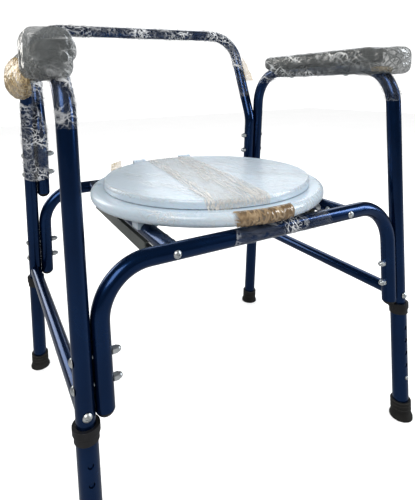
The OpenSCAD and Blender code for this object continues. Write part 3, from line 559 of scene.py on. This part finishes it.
def armFilm(side, sign):
    low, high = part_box("armrest_" + side)
    size, middle = high - low, (low + high) / 2
    over = Vector((1, 1, 1)) * 2 * film["over"]
    lump = lumps[side]
    x, down = sign * chair["legX"], lump["ends"] - 0.014
    front = Vector((x, legY(-1, down), down))
    knee = Vector((x, legY(-1, chair["armHeight"]), chair["armHeight"]))
    elbow = Vector((x, legY(1, chair["armHeight"]), chair["armHeight"]))
    rear = Vector((x, legY(1, down), down))
    path = [front, *bendPoints(front, knee, elbow, chair["frontBend"]),
            *bendPoints(knee, elbow, rear, chair["rearBend"]), rear]
    piece = barCore("armFilm_" + side, path, chair["tubeR"] + film["over"])
    shrinkFilm(piece, 3, [((x, 0, lump["ends"]), (0.25 * sign, 0.1, -1))])
    finishPiece(piece, "frame", materials["stretchFilm"], angle=50)
    declareFilm(piece, 2)
    deselectAll()
    bpy.ops.mesh.primitive_cube_add(size=1, location=middle, scale=size + over)
    block = bpy.context.object
    bakePlace(block)
    startEdit(block)
    bpy.ops.mesh.select_all(action="SELECT")
    bpy.ops.mesh.bevel(offset=0.010, segments=3)
    bpy.ops.object.mode_set(mode="OBJECT")
    deselectAll()
    bpy.ops.mesh.primitive_cylinder_add(
        vertices=24, radius=chair["tubeR"] + film["over"] / 2, depth=size.y * 0.78,
        location=(x, middle.y, chair["armHeight"]), rotation=(math.pi / 2, 0, 0))
    wrapped = hullOf(joinPieces([block, bpy.context.object], "wrapped"))
    deselectAll()
    bpy.ops.mesh.primitive_cube_add(size=2, scale=lump["size"], location=(
        x + sign * lump["out"], low.y - 0.002, middle.z - lump["down"]))
    bunch = bpy.context.object
    bakePlace(bunch)
    startEdit(bunch)
    bpy.ops.mesh.select_all(action="SELECT")
    bpy.ops.mesh.bevel(offset=0.014, segments=3)
    bpy.ops.object.mode_set(mode="OBJECT")
    piece = joinPieces([wrapped, bunch], "padWrap_" + side)
    shrinkFilm(piece, 4, [], 0.5)
    finishPiece(piece, "frame", materials["padWrap"], angle=50)
    declareFilm(piece, 2)


def looseTape(side):  # brown tape stuck to the bunched film, loose at its edges
    tape = tapes[side]
    piece = ballAt(tape["place"], tape["size"])
    piece.name = "looseTape_" + side
    shrinkFilm(piece, 2, [(tape["place"], tape["cut"])])
    finishPiece(piece, "frame", materials["looseTape"], angle=50)
    declareFilm(piece, 2)
    return piece


def tapeTail(name):  # a crumpled end of tape, fixed along one side and narrower at the top
    tail = tails[name]
    deselectAll()
    bpy.ops.mesh.primitive_grid_add(x_subdivisions=28, y_subdivisions=28, size=1)
    piece = bpy.context.object
    piece.name = name
    for vertex in piece.data.vertices:
        vertex.co.x = 0.5 - (0.5 - vertex.co.x) * (1 - tail["taper"] * (vertex.co.y + 0.5))
    piece.scale = (*tail["size"], 1)
    piece.rotation_euler = [math.radians(angle) for angle in tail["turn"]]
    piece.location = tail["place"]
    bakePlace(piece)
    wrinkle(piece, "Folds", 0.020, 0.010, 0.5)
    wrinkle(piece, "Creases", 0.007, 0.003, 0.5)
    finishPiece(piece, tail["body"], materials["looseTape"], angle=60)


def backFilm():
    lean = math.radians(chair["backLean"])
    along = Vector((0, math.sin(lean), math.cos(lean)))
    bend = Vector((0, legY(1, chair["backBendHeight"]), chair["backBendHeight"]))
    top = bend + along * chair["backRise"]
    low = bend + along * 0.045
    side = Vector((chair["innerX"], 0, 0))
    path = [low - side, *bendPoints(low - side, top - side, top + side, chair["backCorner"]),
            *bendPoints(top - side, top + side, low + side, chair["backCorner"]), low + side]
    piece = barCore("backFilm", path, chair["tubeR"] + film["over"])
    shrinkFilm(piece, 4, [(low + along * 0.012, -along)])
    finishPiece(piece, "frame", materials["stretchFilm"], angle=50)
    declareFilm(piece, 2)


def legFilm():  # the left rear leg and the back bar beside it, wrapped as one
    low, high = 0.440, 0.610
    runs = []
    for x, top in ((-chair["legX"], high), (-chair["innerX"], 0.552)):
        runs.append(barCore("run", [(x, legY(1, low), low), (x, legY(1, top), top)],
                            chair["tubeR"] + film["over"]))
    piece = hullOf(joinPieces(runs, "legFilm"))
    shrinkFilm(piece, 5, [((-0.28, 0.22, low + 0.006), (-0.3, 0.2, -1)), ((0, 0, high - 0.004), (0, 0, 1))])
    finishPiece(piece, "frame", materials["stretchFilm"], angle=50)
    declareFilm(piece, 2)


for side, sign in (("left", -1), ("right", 1)):
    armFilm(side, sign)
    looseTape(side)
for name in tails:
    tapeTail(name)
backFilm()
legFilm()
print("film on the frame done")


# film over the seat and lid, a band of paper tape across the lid, a patch on the seat's edge

wrap = {"over": 0.0009, "seatBand": 0.197, "lidSkirt": 0.0065, "bandWidth": 0.104, "bandTurn": 82.3,
        "bandOffset": -0.022, "bandLift": 0.0016, "bandCrown": 0.0025, "bandRound": 0.008,
        "bandFold": 0.006, "patchLift": 0.0007, "patchWidth": 0.100, "patchTurn": -95.0}


def skinOf(node, name, keep):  # a thin skin over the faces that keep lets through
    useOnly(nodes[node])
    piece = nodes[node].copy()
    piece.data = nodes[node].data.copy()
    for key in list(piece.keys()):
        del piece[key]
    piece.parent = None
    piece.name = name
    bpy.context.scene.collection.objects.link(piece)
    startEdit(piece)
    bpy.ops.mesh.select_all(action="SELECT")
    bpy.ops.mesh.remove_doubles(threshold=0.00002)
    pick(piece, "FACE", lambda face: not keep(face))
    bpy.ops.mesh.delete(type="FACE")
    bpy.ops.object.mode_set(mode="OBJECT")
    addModifier(piece, "DISPLACE", strength=wrap["over"], mid_level=0.0)
    return piece


def farFrom(middle, point):
    return (Vector((point.x, point.y)) - Vector((middle.x, middle.y))).length


def seatMiddle():
    low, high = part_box("seat_saddles")
    return (low + high) / 2


def lidFilm():
    low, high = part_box("lid")
    middle = seatMiddle()
    rim = high.x - 0.001
    piece = skinOf("lid", "lidFilm", lambda face: (
        farFrom(middle, face.calc_center_median()) < rim + 0.002
        and face.calc_center_median().z > low.z + wrap["lidSkirt"]
        and (face.normal.z > 0.3 or farFrom(middle, face.calc_center_median()) > rim - 0.010)
        and face.normal.z > -0.2))
    finishPiece(piece, "lid", materials["lidFilm"], angle=50)
    declareFilm(piece)


def seatFilm():
    low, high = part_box("seat_ring")
    middle = seatMiddle()
    piece = skinOf("seat_ring", "seatFilm", lambda face: (
        farFrom(middle, face.calc_center_median()) > wrap["seatBand"]
        and face.calc_center_median().z > low.z + 0.002
        and farFrom(middle, face.calc_center_median() + face.normal * 0.01)
        > farFrom(middle, face.calc_center_median()) - 0.0005))
    finishPiece(piece, "seat", materials["lidFilm"], angle=50)
    declareFilm(piece)


def lidBand():  # paper tape right across the lid, folded down over its edge at both ends
    low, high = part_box("lid")
    middle = seatMiddle()
    radius = high.x + wrap["bandLift"]
    length = 2 * radius + 2 * wrap["bandFold"]
    deselectAll()
    bpy.ops.mesh.primitive_grid_add(x_subdivisions=150, y_subdivisions=36, size=1,
                                    location=(middle.x + wrap["bandOffset"], middle.y, 0))
    piece = bpy.context.object
    piece.name = "lidBand"
    piece.scale = (length, wrap["bandWidth"], 1)
    piece.rotation_euler.z = math.radians(wrap["bandTurn"])
    bakePlace(piece)
    bend = wrap["bandRound"]
    for vertex in piece.data.vertices:
        out = farFrom(middle, vertex.co)
        height = high.z + wrap["bandLift"] - wrap["bandCrown"] * (out / radius) ** 2
        over = max(0.0, out - (radius - bend))
        if over:
            turn = min(over / bend, math.pi / 2)
            down = bend * (1 - math.cos(turn)) + max(0.0, over - bend * math.pi / 2)
            outNow = radius - bend + bend * math.sin(turn)
            vertex.co.x = middle.x + (vertex.co.x - middle.x) * outNow / out
            vertex.co.y = middle.y + (vertex.co.y - middle.y) * outNow / out
            height -= down
        vertex.co.z = height
    wrinkle(piece, "Folds", 0.018, 0.0022, 0.35)
    finishPiece(piece, "lid", materials["lidTape"], angle=60)


def seatPatch():  # brown tape that holds the film to the seat's front edge
    middle = seatMiddle()
    low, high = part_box("seat_ring")
    start = wrap["patchTurn"] - math.degrees(wrap["patchWidth"] / 2 / high.x)
    stop = wrap["patchTurn"] + math.degrees(wrap["patchWidth"] / 2 / high.x)
    piece = skinOf("seat_ring", "seatPatch", lambda face: (
        farFrom(middle, face.calc_center_median()) > wrap["seatBand"]
        and start < math.degrees(math.atan2(face.calc_center_median().y - middle.y,
                                            face.calc_center_median().x - middle.x)) < stop
        and face.calc_center_median().z > low.z + 0.001
        and farFrom(middle, face.calc_center_median() + face.normal * 0.01)
        > farFrom(middle, face.calc_center_median()) - 0.0005))
    addModifier(piece, "DISPLACE", strength=wrap["patchLift"], mid_level=0.0)
    finishPiece(piece, "seat", materials["edgeTape"], angle=60)
    declareFilm(piece)


def tubeFilm():  # the end of the film, stuck round the front tube
    y, z = legY(-1, chair["seatHeight"]), chair["seatHeight"]
    piece = barCore("tubeFilm", [(-0.075, y, z), (0.125, y, z)], chair["tubeR"] + film["over"] / 2)
    shrinkFilm(piece, 2, [((-0.070, 0, z), (-1, 0, 0.3)), ((0.118, 0, z), (1, 0, 0.3))])
    finishPiece(piece, "frame", materials["stretchFilm"], angle=50)
    declareFilm(piece, 2)


lidFilm()
seatFilm()
lidBand()
seatPatch()
tubeFilm()
print("film on the seat done")


# floor, lights and camera

camera = {"place": (-0.3889, -0.7294, 0.6336), "yaw": 27.2, "down": 6.0, "roll": -1.36,
          "lens": 29.87, "shiftX": 0.039, "shiftY": -0.243}


def makeCamera():
    bpy.ops.object.camera_add(location=camera["place"])
    eye = bpy.context.object
    turned = (Matrix.Rotation(math.radians(-camera["yaw"]), 4, "Z")
              @ Matrix.Rotation(math.radians(90 - camera["down"]), 4, "X")
              @ Matrix.Rotation(math.radians(camera["roll"]), 4, "Z"))
    eye.matrix_world = Matrix.Translation(camera["place"]) @ turned
    eye.data.lens = camera["lens"]
    eye.data.sensor_width = 36
    eye.data.shift_x = camera["shiftX"]
    eye.data.shift_y = camera["shiftY"]
    eye.data.clip_start = 0.01
    bpy.context.scene.camera = eye


studio = {"room": grey(1.0), "wall": grey(1.0), "mirrored": grey(0.12), "bounce": grey(0.30)}

lights = [
    {"name": "windowLight", "place": (1.6, 1.9, 1.9), "size": (2.2, 1.8), "power": 18,
     "tint": (0.92, 0.96, 1.0)},
    {"name": "keyLight", "place": (-1.9, -1.6, 2.3), "size": (1.6, 1.6), "power": 36,
     "tint": (1.0, 0.98, 0.95)},
    {"name": "sideLight", "place": (2.3, -1.5, 1.5), "size": (0.5, 1.8), "power": 30,
     "tint": (0.9, 0.95, 1.0)},
    {"name": "backLight", "place": (-1.4, 2.3, 1.4), "size": (1.2, 1.4), "power": 20,
     "tint": (1.0, 0.97, 0.92)},
]


def makeStage():
    deselectAll()
    bpy.ops.mesh.primitive_plane_add(size=14, location=(0, 0, 0))
    floor = bpy.context.object
    floor.name = "floor"
    material, tree, shader = newMaterial("paleFloor", Roughness=0.6)
    grain = place(tree, grainGroup, Scale=60.0, Patch_Scale=2.0)
    tint = rampOf(tree, grain.outputs["Patches"], [(0.2, grey(0.93)), (0.8, grey(0.96))])
    seen = addNode(tree, "ShaderNodeLightPath")
    shade = addNode(tree, "ShaderNodeMix", data_type="RGBA")
    shade.inputs[6].default_value = (*studio["bounce"], 1)
    join(tree, seen.outputs["Is Camera Ray"], shade.inputs[0])
    join(tree, tint, shade.inputs[7])
    join(tree, shade.outputs[2], shader.inputs["Base Color"])
    floor.data.materials.append(material)
    middle = Vector((0, 0, 0.4))
    print("floor done")
    for lamp in lights:
        bpy.ops.object.light_add(type="AREA", location=lamp["place"])
        light = bpy.context.object
        light.name = lamp["name"]
        light.rotation_euler = (middle - light.location).to_track_quat("-Z", "Y").to_euler()
        light.data.shape = "RECTANGLE"
        light.data.size, light.data.size_y = lamp["size"]
        light.data.energy = lamp["power"]
        light.data.color = lamp["tint"]
    world = bpy.data.worlds.new("studio")
    bpy.context.scene.world = world
    world.use_nodes = True
    tree = world.node_tree
    soft = tree.nodes["Background"]
    soft.inputs["Color"].default_value = (*studio["room"], 1)
    wall = addNode(tree, "ShaderNodeBackground", {"Color": (*studio["wall"], 1)})
    ray = addNode(tree, "ShaderNodeLightPath")
    mix = addNode(tree, "ShaderNodeMixShader")
    glossy = addNode(tree, "ShaderNodeBackground", {"Color": (*studio["mirrored"], 1)})
    mixGlossy = addNode(tree, "ShaderNodeMixShader")
    join(tree, ray.outputs["Is Glossy Ray"], mixGlossy.inputs["Fac"])
    join(tree, soft.outputs["Background"], mixGlossy.inputs[1])
    join(tree, glossy.outputs["Background"], mixGlossy.inputs[2])
    join(tree, ray.outputs["Is Camera Ray"], mix.inputs["Fac"])
    join(tree, mixGlossy.outputs["Shader"], mix.inputs[1])
    join(tree, wall.outputs["Background"], mix.inputs[2])
    join(tree, mix.outputs["Shader"], tree.nodes["World Output"].inputs["Surface"])
    bpy.context.scene.view_settings.view_transform = "Standard"
    bpy.context.scene.view_settings.look = "Medium High Contrast"


makeStage()
makeCamera()
print("stage and camera done")
